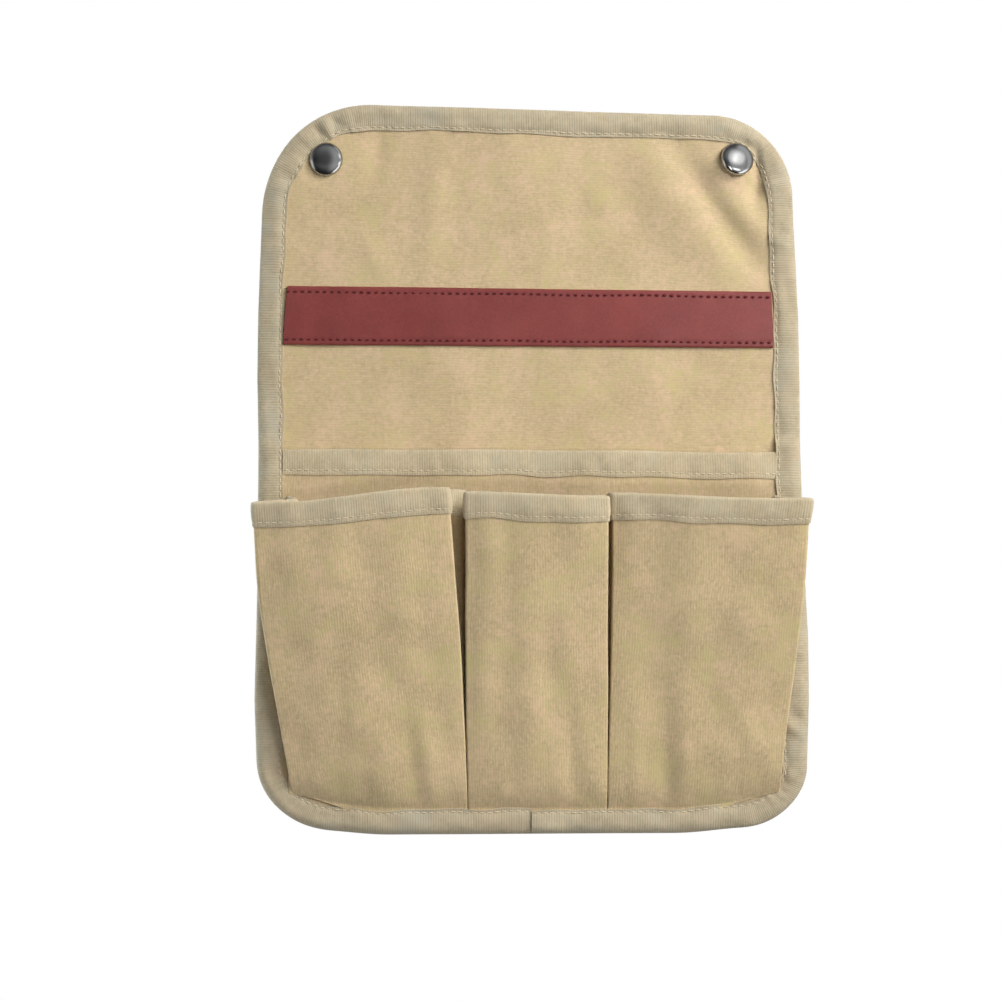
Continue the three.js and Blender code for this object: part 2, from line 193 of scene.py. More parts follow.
def settle(x, z):
    """Where a place on the flat pattern lies once the bag has been sewn and hung."""
    width, shift, drop, slope = (np.interp(z, SETTLED[:, 0], SETTLED[:, k]) for k in (1, 2, 3, 4))
    # Both bottom corners ride up, and the left one is drawn out a little
    rise = 2.2 * smooth(np.abs(x), 62, 96) * smooth(-z, 190, 222)
    pulled = np.exp(-((x + 112) ** 2 + (z + 217) ** 2) / 13**2)
    return x * width + shift - 0.3 * pulled, z + drop - slope * x + rise


def pressed(x, z):
    """How far the edge tape presses the flat pocket's top corners towards the panel."""
    return smooth(np.abs(x), 97, 107) * (1 - smooth(-z, 62, 80))


def panel_front(x, z):
    """Front face of what the edge tape is folded over."""
    flat = smooth(-z, -FLAT_TOP - FLAT_STEP, -FLAT_TOP)
    return -CANVAS + (FLAT_FRONT + CANVAS + pressed(x, z)) * flat - lift(x, z)


def on_panel(x, z, y):
    """Points at a height y over the panel's place, settled."""
    new_x, new_z = settle(x, z)
    return np.stack([new_x, y, new_z], -1)


# Meshes from grids of points

def linked(name, data):
    """A new object in the scene."""
    made = bpy.data.objects.new(name, data)
    bpy.context.scene.collection.objects.link(made)
    return made


def stand_in(made, slot, *nodes):
    """Hides the nodes of the solid part that a piece stands in for. The piece and the slot of its
    finish are not used.
    """
    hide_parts(*nodes)


def mesh_object(name, points, faces, finish, places=None, sharp=50):
    """A mesh of points in millimetres, smooth up to an angle, with a map where places are given."""
    mesh = bpy.data.meshes.new(name)
    mesh.from_pydata((np.asarray(points, float) * MM).tolist(), [], faces)
    if places is not None:
        layer = mesh.uv_layers.new(name=MAP)
        corner = np.zeros(len(mesh.loops), np.int32)
        mesh.loops.foreach_get("vertex_index", corner)
        layer.uv.foreach_set("vector", (places[corner] * MM).astype(np.float32).ravel())
    mesh.materials.append(finish)
    mesh.shade_smooth()
    mesh.set_sharp_from_angle(angle=math.radians(sharp))
    return linked(name, mesh)


def normals_of(grid):
    """Unit directions square to a grid of points."""
    down = np.gradient(grid, axis=0)
    across = np.gradient(grid, axis=1)
    normal = np.cross(down, across)
    return normal / np.maximum(np.linalg.norm(normal, axis=-1, keepdims=True), 1e-9)


def cloth(name, grid, thickness, places, finish, outward=1):
    """A closed sheet about a grid of points: two faces and a rim all round."""
    rows, columns = grid.shape[:2]
    count = rows * columns
    normal = normals_of(grid) * outward
    thickness = np.broadcast_to(np.asarray(thickness, float), (rows, columns))[..., None]
    front = grid + normal * thickness / 2
    back = grid - normal * thickness / 2
    points = np.concatenate([front.reshape(-1, 3), back.reshape(-1, 3)])
    index = np.arange(count).reshape(rows, columns)
    corners = [index[:-1, :-1], index[1:, :-1], index[1:, 1:], index[:-1, 1:]]
    face = np.stack(corners, -1).reshape(-1, 4)
    rim = np.concatenate([index[0, :-1], index[:-1, -1], index[-1, :0:-1], index[:0:-1, 0]])
    after = np.roll(rim, -1)
    edge = np.stack([rim, after, after + count, rim + count], -1)
    if outward < 0:
        face = face[:, ::-1]
        edge = edge[:, ::-1]
    faces = np.concatenate([face, face[:, ::-1] + count, edge])
    places = np.concatenate([places.reshape(-1, 2)] * 2)
    return mesh_object(name, points, faces.tolist(), finish, places)


def along(grid, axis):
    """Distance along the rows or columns of a grid, from the start of each."""
    step = np.linalg.norm(np.diff(grid, axis=axis), axis=-1)
    start = np.zeros_like(np.take(step, [0], axis=axis))
    return np.concatenate([start, np.cumsum(step, axis=axis)], axis=axis)


# Finishes and their nodes

class Field:
    """A value in a tree of nodes, so that sums of values read as plain expressions."""

    def __init__(self, nodes, socket):
        self.nodes = nodes
        self.socket = socket

    def math(self, operation, *others):
        return self.nodes.node(
            "ShaderNodeMath", {"operation": operation}, dict(enumerate((self, *others)))
        )

    def __add__(self, other):
        return self.math("ADD", other)

    def __sub__(self, other):
        return self.math("SUBTRACT", other)

    def __mul__(self, other):
        return self.math("MULTIPLY", other)

    def __rsub__(self, other):
        return (self * -1) + other

    __radd__ = __add__
    __rmul__ = __mul__

    def ridges(self):
        """Round ridges, one for each whole number."""
        return (self * math.pi).math("SINE").math("ABSOLUTE")

    def out(self, name):
        return Field(self.nodes, self.socket.node.outputs[name])


class Nodes:
    """A node tree, with fields for its values."""

    def __init__(self, tree):
        self.tree = tree

    def node(self, kind, settings=None, inputs=None, out=0):
        made = self.tree.nodes.new(kind)
        for key, value in (settings or {}).items():
            setattr(made, key, value)
        for key, value in (inputs or {}).items():
            if isinstance(value, Field):
                self.tree.links.new(value.socket, made.inputs[key])
            else:
                made.inputs[key].default_value = value
        return Field(self, made.outputs[out]) if made.outputs else made

    def step(self, value, low, high, start=0.0, end=1.0):
        """A soft step from start to end as the value goes from low to high."""
        return self.node("ShaderNodeMapRange", {"interpolation_type": "SMOOTHSTEP"}, {
            "Value": value, "From Min": low, "From Max": high, "To Min": start, "To Max": end
        })


class Finish(Nodes):
    """A material, with constants on its shader and fields for what changes over the surface."""

    def __init__(self, name, constants):
        self.material = bpy.data.materials.new(name)
        self.material.use_nodes = True
        super().__init__(self.material.node_tree)
        self.shader = self.tree.nodes["Principled BSDF"]
        for socket, value in constants.items():
            self.shader.inputs[socket].default_value = value

    def places(self):
        """Distances along the cloth's own map, in millimetres."""
        spot = self.node("ShaderNodeUVMap", {"uv_map": MAP})
        split = self.node("ShaderNodeSeparateXYZ", inputs={0: spot})
        return split.out("X") * 1000, split.out("Y") * 1000

    def object_place(self):
        return self.node("ShaderNodeTexCoord").out("Object")

    def noise(self, place, scale, detail=2.0, roughness=0.5):
        inputs = {"Vector": place, "Scale": scale, "Detail": detail, "Roughness": roughness}
        return self.node("ShaderNodeTexNoise", inputs=inputs)

    def spot(self, x, y):
        return self.node("ShaderNodeCombineXYZ", inputs={0: x, 1: y})

    def mix(self, share, low, high):
        """A colour between two, by sockets of the Mix node: factor, first colour, second colour."""
        settings = {"data_type": "RGBA", "clamp_factor": True}
        return self.node("ShaderNodeMix", settings, {0: share, 6: low, 7: high}, out=2)

    def set(self, **fields):
        for key, field in fields.items():
            name = key.replace("_", " ").title()
            self.tree.links.new(field.socket, self.shader.inputs[name])

    def bump(self, height, strength, distance):
        inputs = {"Height": height, "Strength": strength, "Distance": distance}
        self.set(normal=self.node("ShaderNodeBump", inputs=inputs))


def colour(red, green, blue):
    return (red, green, blue, 1.0)


# Threads of the weaves, in millimetres: from one to the next
CANVAS_RIB = 1.15
CANVAS_BEAD = 0.8
TAPE_RIB = 1.1
TAPE_PICK = 0.42


def canvas_finish(name, light, dark, warm, green, relief, mottle):
    """Ribbed cotton canvas. Its ribs run along the first direction of the cloth's map."""
    made = Finish(name, {"Roughness": 0.95, "Sheen Weight": 0.12, "Sheen Roughness": 0.6})
    u, v = made.places()
    place = made.object_place()
    blotch = made.noise(place, 34.0, 5.0, 0.66)
    warmth = made.noise(place, 62.0, 5.0, 0.72)
    shifted = made.node("ShaderNodeMapping", inputs={0: place, 1: (3.1, 1.7, 0.6)})
    olive = made.noise(shifted, 50.0, 5.0, 0.72)
    speck = made.noise(place, 620.0, 3.0, 0.7)
    slub = made.noise(made.spot(u * 0.28, v * 0.9), 1.0, 3.0, 0.65)
    broken = made.noise(made.spot(u * 0.4, v * 0.85), 1.0, 2.0, 0.6)
    warp = made.noise(made.spot(u * 1.05, v * 0.16), 1.0, 2.0, 0.6)
    wander = made.noise(made.spot(u * 0.045, v * 0.045), 1.0, 3.0, 0.6)
    rib_at = v * (1 / CANVAS_RIB) + wander * 2.2
    ribs = rib_at.ridges() * (broken * 2.6 - 0.6)
    beads = (u * (1 / CANVAS_BEAD) + rib_at.math("FLOOR") * 0.5).ridges()
    height = ribs * 0.62 + beads * 0.24 + slub * 0.5 + warp * 0.2 + speck * 0.45
    share = (height - 0.85) * 0.6 * relief + 0.48 + (blotch - 0.5) * 0.8
    share = share + ((speck - 0.5) + (slub - 0.5) * 0.75 + (warp - 0.5) * 0.25) * mottle
    shade = made.mix(share, dark, light)
    fleck = made.noise(shifted, 430.0, 2.0, 0.6)
    shade = made.mix((warmth - 0.5) * 3.6 + (fleck - 0.5) * 1.6, shade, warm)
    made.set(base_color=made.mix((olive - 0.5) * 4.0 - (fleck - 0.5) * 1.6, shade, green))
    made.bump(height, 0.45 * relief, 0.00028)
    return made.material


def tape_finish(name, light, dark, warm, cool):
    """Woven binding tape. Its ribs run across the first direction of the cloth's map."""
    made = Finish(name, {"Roughness": 0.9, "Sheen Weight": 0.15, "Sheen Roughness": 0.5})
    u, v = made.places()
    place = made.object_place()
    blotch = made.noise(place, 60.0, 5.0, 0.7)
    warmth = made.noise(place, 75.0, 4.0, 0.65)
    shifted = made.node("ShaderNodeMapping", inputs={0: place, 1: (2.3, 0.9, 1.4)})
    chill = made.noise(shifted, 55.0, 4.0, 0.65)
    speck = made.noise(place, 620.0, 3.0, 0.7)
    yarn = made.noise(made.spot(u * 0.9, v * 0.1), 1.0, 2.0, 0.6)
    wander = made.noise(made.spot(u * 0.08, v * 0.08), 1.0, 2.0)
    ribs = (u * (1 / TAPE_RIB) + wander * 0.7).ridges()
    picks = (v * (1 / TAPE_PICK)).ridges()
    height = ribs * 0.66 + picks * 0.12 + yarn * 0.3 + speck * 0.25
    share = height * 0.5 + 0.06 + (blotch - 0.5) * 1.3 + (yarn - 0.5) * 0.5 + (speck - 0.5) * 0.7
    shade = made.mix(share, dark, light)
    shade = made.mix((warmth - 0.5) * 3.0, shade, warm)
    made.set(base_color=made.mix((chill - 0.5) * 3.4, shade, cool))
    made.bump(height, 0.5, 0.00024)
    return made.material


def leather_finish(name, light, dark):
    """Smooth coated leather with a fine grain."""
    made = Finish(name, {"Specular IOR Level": 1.0})
    place = made.object_place()
    grain = made.node(
        "ShaderNodeTexVoronoi",
        {"feature": "SMOOTH_F1"},
        {"Vector": place, "Scale": 1100.0, "Smoothness": 0.6},
    )
    pores = made.noise(place, 900.0, 3.0, 0.65)
    cloud = made.noise(place, 38.0, 5.0, 0.65)
    share = 0.5 + (cloud - 0.5) * 1.3 + (pores - 0.5) * 0.9 - (0.5 - grain) * 0.3
    made.set(base_color=made.mix(share, dark, light))
    made.set(roughness=0.33 + cloud * 0.14 + pores * 0.08)
    made.bump(grain * 0.6 + pores * 0.4, 0.22, 0.00012)
    return made.material


def metal_finish(name, light, dark, roughness):
    made = Finish(name, {"Metallic": 1.0})
    place = made.object_place()
    cloud = made.noise(place, 160.0, 3.0)
    brushed = made.noise(place, 1400.0, 2.0)
    made.set(base_color=made.mix(cloud, dark, light))
    made.set(roughness=roughness + (cloud - 0.5) * 0.08 + (brushed - 0.5) * 0.05)
    return made.material


def thread_finish(name, light, dark, gloss):
    made = Finish(name, {"Roughness": gloss, "Sheen Weight": 0.1})
    place = made.object_place()
    twist = made.noise(place, 1500.0, 2.0)
    made.set(base_color=made.mix(twist * 1.6 - 0.3, dark, light))
    made.bump(twist, 0.3, 0.0001)
    return made.material


canvas = canvas_finish(
    "tan_canvas", colour(0.70, 0.545, 0.335), colour(0.42, 0.32, 0.18),
    colour(0.70, 0.50, 0.335), colour(0.575, 0.478, 0.235), 0.43, 0.8,
)
# The flat pocket is the panel's cloth painted darker: painted shade for the strip between the flat
# tape and the pocket mouths, which these lamps light as brightly as the panel
flat_canvas_painted_shade = canvas_finish(
    "tan_flat_pocket_canvas_painted_shade", colour(0.64, 0.50, 0.31), colour(0.385, 0.292, 0.165),
    colour(0.63, 0.447, 0.31), colour(0.516, 0.428, 0.222), 0.7, 0.75,
)
pocket_canvas = canvas_finish(
    "tan_pocket_canvas", colour(0.70, 0.543, 0.322), colour(0.40, 0.305, 0.17),
    colour(0.70, 0.505, 0.318), colour(0.56, 0.475, 0.226), 0.69, 0.85,
)
tape = tape_finish(
    "beige_edge_tape", colour(0.60, 0.512, 0.362), colour(0.36, 0.304, 0.20),
    colour(0.525, 0.418, 0.284), colour(0.455, 0.424, 0.33),
)
mouth_tape = tape_finish(
    "beige_pocket_tape", colour(0.667, 0.56, 0.385), colour(0.404, 0.337, 0.217),
    colour(0.597, 0.47, 0.306), colour(0.526, 0.477, 0.346),
)
leather = leather_finish("red_leather", colour(0.276, 0.0565, 0.049), colour(0.149, 0.0265, 0.0235))
nickel = metal_finish("dark_nickel", colour(0.50, 0.50, 0.49), colour(0.42, 0.42, 0.415), 0.17)
dull_nickel = metal_finish("plain_nickel", colour(0.62, 0.61, 0.59), colour(0.5, 0.49, 0.47), 0.28)
beige_thread = thread_finish("beige_thread", colour(0.70, 0.60, 0.43), colour(0.5, 0.41, 0.28), 0.75)
red_thread = thread_finish("red_thread", colour(0.165, 0.020, 0.024), colour(0.095, 0.010, 0.013), 0.6)


# The panel, its edge tape and the leather band

def edge_path(step):
    """Places round the edge of the flat pattern, from the middle of the bottom edge to the right,
    with the directions inwards and the share of each place that lies on a corner."""
    spots, inward, corner = [], [], []

    def run(start, end, direction):
        count = max(2, int(math.dist(start, end) / step))
        for i in range(count):
            share = i / count
            spots.append([start[k] + (end[k] - start[k]) * share for k in (0, 1)])
            inward.append(direction)
            corner.append(0.0)

    def turn(centre, radius, first):
        count = max(4, int(radius * math.pi / 2 / step))
        for i in range(count):
            angle = first + i / count * math.pi / 2
            out = (math.cos(angle), math.sin(angle))
            spots.append([centre[0] + radius * out[0], centre[1] + radius * out[1]])
            inward.append([-out[0], -out[1]])
            corner.append(math.sin(i / count * math.pi))

    low_right, top_right, top_left, low_left = CORNER_RADII
    side = HALF_WIDTH
    run((0, BOTTOM), (side - low_right, BOTTOM), (0, 1))
    turn((side - low_right, BOTTOM + low_right), low_right, -math.pi / 2)
    run((side, BOTTOM + low_right), (side, TOP - top_right), (-1, 0))
    turn((side - top_right, TOP - top_right), top_right, 0)
    run((side - top_right, TOP), (top_left - side, TOP), (0, -1))
    turn((top_left - side, TOP - top_left), top_left, math.pi / 2)
    run((-side, TOP - top_left), (-side, BOTTOM + low_left), (1, 0))
    turn((low_left - side, BOTTOM + low_left), low_left, math.pi)
    run((low_left - side, BOTTOM), (0, BOTTOM), (0, 1))
    spots.append([0, BOTTOM])
    inward.append((0, 1))
    corner.append(0.0)
    return np.array(spots, float), np.array(inward, float), np.array(corner, float)


def panel_half(z, inset, side):
    """Half width of the flat pattern at a height, on one side, drawn in by an inset."""
    low, high = (CORNER_RADII[3], CORNER_RADII[2]) if side < 0 else CORNER_RADII[:2]
    half = np.full_like(z, HALF_WIDTH - inset)
    into_top = np.clip(z - (TOP - high), 0, high - inset)
    into_low = np.clip(BOTTOM + low - z, 0, low - inset)
    half = half - (high - inset - np.sqrt(np.maximum((high - inset) ** 2 - into_top**2, 0)))
    return half - (low - inset - np.sqrt(np.maximum((low - inset) ** 2 - into_low**2, 0)))


def heights_between(low, high, step):
    """Heights from low to high, closer together at the fold and at the rounded ends."""
    closest = 0.45
    plain = np.linspace(low, high, int((high - low) / step) + 1)
    fold = np.arange(-10, 10.01, 0.8)
    head = TOP - 46 * (1 - np.cos(np.linspace(0, 1.5, 26)))
    foot = BOTTOM + 38 * (1 - np.cos(np.linspace(0, 1.5, 24)))
    every = np.concatenate([plain, fold, head, foot, [low, high]])
    every = np.unique(np.round(every[(every >= low) & (every <= high)], 2))
    keep = [every[0]]
    for z in every[1:]:
        if z - keep[-1] >= closest:
            keep.append(z)
    keep[-1] = high
    return np.array(keep)


def spread(heights, inset, columns):
    """Places across the flat pattern at heights, even between its drawn-in edges."""
    share = np.linspace(-1, 1, columns)
    left, right = (panel_half(heights, inset, side)[:, None] for side in (-1, 1))
    return np.where(share < 0, share * left, share * right)


def make_panel():
    heights = heights_between(BOTTOM + PANEL_INSET, TOP - PANEL_INSET, 2.4)
    x = spread(heights, PANEL_INSET, 101)
    z = np.broadcast_to(heights[:, None], x.shape)
    grid = on_panel(x, z, -CANVAS / 2 - lift(x, z))
    made = cloth("canvas_panel", grid, CANVAS, np.stack([x, z], -1), canvas, -1)
    stand_in(made, "canvas", "back_panel", "flap_panel")
    return made


# Across the edge tape: distances from the edge on its front and back, and its turn over the edge
LEG = np.array([11.0, 10.75, 10.35, 9.95, 9.6, 9.25, 8.8, 8.1, 7.1, 6.0, 5.0, 4.2])
TURN = np.linspace(0, math.pi, 9)
STITCH_IN = 9.6

# Puckers of the edge tape: start and end as (x, z), width and height
TAPE_PUCKERS = [
    ((-92, 76.5), (-98, 83.5), 1.9, -1.1),
    ((-85.5, 80), (-89.5, 87.5), 1.9, -1.0),
    ((-89, 78.5), (-94.5, 87), 2.2, 0.9),
    ((-97, 72), (-104, 79), 2.4, 0.6),
    ((-101, 62), (-112, 66), 2.6, 0.6),
    ((-82, 83), (-84, 92), 2.6, 0.6),
    ((-104, 52), (-116, 55), 2.6, 0.6),
    ((-108, 34), (-119, 37), 2.6, 0.7),
    ((98, 78), (107, 85), 2.6, 1.2),
    ((106, 60), (117, 64), 2.6, 0.9),
    ((107, 38), (118, 34), 2.6, 0.8),
    ((107, 27), (118, 31), 2.2, -0.5),
    ((108, 16), (119, 20), 2.6, 0.6),
    ((-110, -170), (-119, -172), 2.6, 0.6),
    ((109, -150), (119, -147), 2.4, 0.6),
    ((108, -172), (119, -178), 2.2, -0.7),
    ((108, -178), (119, -185), 2.4, 1.1),
    ((106, -196), (116, -205), 2.4, 0.7),
]


def under_tape(x, z):
    """Cloth of the bellows pockets that the edge tape takes in along the bottom edge."""
    return 1.1 * smooth(-z, 200, 214) * (1 - smooth(np.abs(x), 74, 92))


def tape_swell(within, spots, corner, length):
    """How far the edge tape stands up from flat, at a distance within the edge."""
    pillow = 0.55 * np.sin(math.pi * np.clip(within / STITCH_IN, 0, 1))
    dent = -0.22 * np.exp(-(((within - STITCH_IN) / 0.7) ** 2))
    pucker = corner * (within / TAPE_WIDTH) ** 1.5 * 0.34
    pucker = pucker * np.sin(length / 1.15 + 1.6 * ripple(length, 0 * length, 30, 12))
    uneven = 0.24 * ripple(length, within * 2, 18, 13)
    pinch = sum(crease(spots[..., 0], spots[..., 1], *line) for line in TAPE_PUCKERS)
    swell = np.maximum(pillow + dent + pucker + uneven + pinch, -0.15)
    return swell * smooth(from_snap(spots[..., 0], spots[..., 1], SNAP_Z), 7.5, 10.5)


def tape_grid():
    """Middle of the edge tape, row by row from its front inner edge round to the back, and the
    distance along it. Where its ends meet, one laps over the other."""
    spots, inward, corner = edge_path(1.25)
    length = along(spots[None, :, :], 1)[0]
    lapped = 0.95 * (1 - smooth(length, 3, 16))
    inner = 0.45 * ripple(length, 0 * length, 26, 11) - 0.9 * lapped
    section = [(within, 0.0) for within in LEG]
    section += [(TAPE_FOLD * (1 - math.sin(turn)), turn) for turn in TURN]
    section += [(within, math.pi) for within in LEG[::-1]]
    rows = []
    for within, turn in section:
        stretch = 1 + inner / TAPE_WIDTH * (within / TAPE_WIDTH) ** 2
        at = spots + inward * (within * stretch)[:, None]
        front = panel_front(*at.T) - under_tape(*at.T) - TAPE / 2
        back = TAPE / 2 - lift(*at.T)
        swell = tape_swell(np.full_like(length, within), at, corner, length)
        facing = math.cos(turn)
        middle = (front + back) / 2
        half = (back - front) / 2
        y = middle - (half + lapped) * facing - swell * max(facing, 0.5 * facing)
        rows.append(on_panel(*at.T, y))
    return np.array(rows), length


def make_edge_tape():
    grid, length = tape_grid()
    width = along(grid, 0)
    places = np.stack([np.broadcast_to(length, width.shape), width], -1)
    made = cloth("edge_tape", grid, TAPE, places, tape, 1)
    stand_in(made, "binding_tape", "flap_edge_binding", "edge_binding_left", "edge_binding_right")
    return made, grid


def make_band():
    """The leather band: a strip with rolled edges, pressed in along its stitches."""
    end = INNER_EDGE - 0.4
    rolled = np.array([BAND_HALF - 0.6, BAND_HALF - 0.2, BAND_HALF])
    heights = np.concatenate([-rolled[::-1], np.arange(-11.2, 11.21, 0.8), rolled])
    x, z = np.meshgrid(np.linspace(-end, end, 121), heights)
    dent = 0.22 * np.exp(-(((np.abs(z) - BAND_STITCH_Z) / 0.55) ** 2))
    crown = 0.25 * (1 - (z / BAND_HALF) ** 2)
    roll = 0.8
    edge = np.clip((np.abs(z) - BAND_HALF + roll) / roll, 0, 1) ** 2 * 0.35
    uneven = 0.12 * ripple(x, z, 40, 21)
    slant_x = x + (0.055 * z + 0.4) * np.clip(-x / end, 0, 1) ** 8
    front = -CANVAS - BAND_THICKNESS - lift(x, z) - crown + dent + edge - uneven
    back = -CANVAS - lift(x, z) - 0.02
    grid = on_panel(slant_x, z, (front + back) / 2)
    made = cloth("band_leather", grid, back - front, np.stack([x, z], -1), leather, -1)
    stand_in(made, "leather_band", "leather_band_lower", "leather_band_upper")
    return made


# Stitches

def stitch_tree():
    """Rows of stitches on the lines of a mesh."""
    tree = bpy.data.node_groups.new("stitch_rows", "GeometryNodeTree")
    sockets = {
        "Lines": "Geometry", "Pitch": "Float", "Stitch Length": "Float", "Thread": "Float",
        "Finish": "Material", "Seed": "Int",
    }
    for name, kind in sockets.items():
        tree.interface.new_socket(name, in_out="INPUT", socket_type="NodeSocket" + kind)
    tree.interface.new_socket("Stitches", in_out="OUTPUT", socket_type="NodeSocketGeometry")
    made = Nodes(tree)
    given = made.node("NodeGroupInput").out
    line = made.node("GeometryNodeMeshToCurve", inputs={"Mesh": given("Lines")})
    even = made.node(
        "GeometryNodeResampleCurve", {"mode": "LENGTH"}, {"Curve": line, "Length": given("Pitch")}
    )
    size = made.node("ShaderNodeCombineXYZ", inputs={
        0: given("Stitch Length"), 1: given("Thread"), 2: given("Thread")
    })
    grain = made.node("GeometryNodeMeshUVSphere", inputs={"Segments": 6, "Rings": 6, "Radius": 0.5})
    laid = made.node("GeometryNodeTransform", inputs={
        "Geometry": grain, "Rotation": (0.0, math.pi / 2, 0.0)
    })
    stitch = made.node("GeometryNodeTransform", inputs={"Geometry": laid, "Scale": size})
    tangent = made.node("GeometryNodeInputTangent")
    aim = made.node("FunctionNodeAlignRotationToVector", {"axis": "X"}, {"Vector": tangent})
    uneven = made.node(
        "FunctionNodeRandomValue", {"data_type": "FLOAT"},
        {2: 0.86, 3: 1.1, "Seed": given("Seed")}, out=1,
    )
    rows = made.node("GeometryNodeInstanceOnPoints", inputs={
        "Points": even, "Instance": stitch, "Rotation": aim, "Scale": uneven
    })
    real = made.node("GeometryNodeRealizeInstances", inputs={0: rows})
    soft = made.node("GeometryNodeSetShadeSmooth", inputs={0: real})
    sewn = made.node("GeometryNodeSetMaterial", inputs={0: soft, "Material": given("Finish")})
    made.node("NodeGroupOutput", inputs={0: sewn})
    return tree


STITCH_ROWS = stitch_tree()


def make_stitches(name, lines, finish, sewing, seed):
    """Stitches along lines of points, as one mesh."""
    edges = []
    first = 0
    for line in lines:
        edges += [(first + i, first + i + 1) for i in range(len(line) - 1)]
        first += len(line)
    mesh = bpy.data.meshes.new(name + "_lines")
    mesh.from_pydata((np.concatenate(lines) * MM).tolist(), edges, [])
    rows = linked(name + "_lines", mesh)
    sewn = rows.modifiers.new("stitches", "NODES")
    sewn.node_group = STITCH_ROWS
    pitch, length, thread = (size * MM for size in sewing)
    values = {
        "Pitch": pitch, "Stitch Length": length, "Thread": thread, "Finish": finish, "Seed": seed
    }
    for item in STITCH_ROWS.interface.items_tree:
        if item.in_out == "INPUT" and item.name in values:
            sewn[item.identifier] = values[item.name]
    bpy.context.view_layer.update()
    graph = bpy.context.evaluated_depsgraph_get()
    sewn_mesh = bpy.data.meshes.new_from_object(rows.evaluated_get(graph))
    sewn_mesh.name = name
    made = linked(name, sewn_mesh)
    bpy.data.objects.remove(rows)
    return made


def make_edge_stitches(grid):
    """A row on the tape's front and one on its back, through the same holes."""
    row = int(np.argmin(np.abs(LEG - STITCH_IN)))
    raised = grid + normals_of(grid) * STITCH_RISE
    lines = [raised[row, 2:-2], raised[-1 - row, 2:-2]]
    return make_stitches("edge_stitches", lines, beige_thread, EDGE_SEWING, 1)


def make_band_stitches():
    """Two rows along the band, each on its front and on the back of the canvas."""
    end = INNER_EDGE - 2.0
    stand_off = 0.12
    x = np.linspace(-end, end, 120)
    lines = []
    for z in (-BAND_STITCH_Z, BAND_STITCH_Z):
        wave = z + 0.18 * ripple(x, 0 * x, 50, 22)
        y = -CANVAS - BAND_THICKNESS - lift(x, wave) - stand_off
        lines.append(on_panel(x, wave, y))
        lines.append(on_panel(x, wave, stand_off - lift(x, wave)))
    return make_stitches("band_stitches", lines, red_thread, BAND_SEWING, 2)


# The flat pocket

def flat_lift(x, z):
    """The flat pocket lies over the panel, a little slack between its margins."""
    slack = 0.3 + 0.28 * ripple(x, z, 60, 31)
    return lift(x, z) + slack * (1 - smooth(np.abs(x), INNER_EDGE - 12, INNER_EDGE - 1))


def flat_edge(x):
    """Height of the flat pocket's top edge."""
    return FLAT_TOP - 1.7 + 0.4 * ripple(x, 0 * x, 80, 32) - 0.006 * x


def flat_y(x, z):
    """Middle of the flat pocket's cloth."""
    return FLAT_FRONT + CANVAS / 2 + pressed(x, z) - flat_lift(x, z)


def make_flat_pocket():
    down = np.concatenate([np.linspace(0, 0.2, 16), np.linspace(0.225, 1, 40)])
    low = BOTTOM + FLAT_INSET
    high = FLAT_TOP - 0.9
    x = spread(high + (low - high) * down, FLAT_INSET, 97)
    z = flat_edge(x) + (low - flat_edge(x)) * down[:, None]
    grid = on_panel(x, z, flat_y(x, z))
    # Its finish is the panel's canvas painted darker, as painted shade
    made = cloth("flat_pocket_cloth", grid, CANVAS, np.stack([z, x], -1), flat_canvas_painted_shade, 1)
    stand_in(made, "canvas", "flat_pocket_panel")
    return made


def folded_section(reach):
    """Heights and sides of a tape that is folded over an edge at height 0, from front to back."""
    legs = [MOUTH_TAPE_LOW + up for up in (0, 0.3, 0.9, 1.5, MOUTH_STITCH_UP, 2.7, 4.2, 6, 8)]
    legs.append(-0.7)
    front = [(height, 1.0) for height in legs]
    over = [(reach * math.sin(a), math.cos(a)) for a in np.linspace(0, math.pi, 9)]
    back = [(height, -1.0) for height in reversed(legs)]
    return front + over + back


def make_mouth_tape(name, surface, stations, nodes, seed, sewing_seed):
    """A tape folded over the top edge of a sheet, and its stitches. surface gives the sheet's
    middle and its outward direction at stations and heights over the edge."""
    reach = CANVAS / 2 + TAPE / 2 + 0.12
    swelling = {1.0: 1.0, -1.0: 0.4}
    length = along(surface(stations, 0 * stations)[0][None], 1)[0]
    section = folded_section(reach)
    rows = []
    for height, side in section:
        wobble = 0.4 * ripple(length, 0 * length, 30, seed) * np.clip(-height / TAPE_WIDTH, 0, 1)
        middle, normal = surface(stations, np.minimum(height, 0) + wobble)
        up = height - MOUTH_TAPE_LOW
        swell = 0.22 * math.sin(math.pi * np.clip(-height / (TAPE_WIDTH - 1), 0, 1))
        swell -= 0.2 * math.exp(-(((up - MOUTH_STITCH_UP) / 0.6) ** 2))
        swell -= 0.22 * math.exp(-((up / 0.7) ** 2))
        hump = math.sin(math.pi * np.clip(-height / TAPE_WIDTH, 0, 1))
        swell = swell + hump * 0.2 * ripple(length, 0.7 * height + 0 * length, 13, seed + 2)
        offset = side * (reach + swelling.get(side, 0.0) * swell)
        over = np.array([0, 0, np.maximum(height, 0)])
        rows.append(middle + normal * offset[:, None] + over)
    grid = np.array(rows)
    width = along(grid, 0)
    places = np.stack([np.broadcast_to(length, width.shape), width], -1)
    made = cloth(name + "_tape", grid, TAPE, places, mouth_tape, -1)
    stand_in(made, "binding_tape", *nodes)
    row = section.index((MOUTH_TAPE_LOW + MOUTH_STITCH_UP, 1.0))
    line = (grid - normals_of(grid) * STITCH_RISE)[row, 1:-1]
    sewn = make_stitches(
        name + "_stitches", [line], beige_thread, MOUTH_SEWING, sewing_seed
    )
    return made, sewn


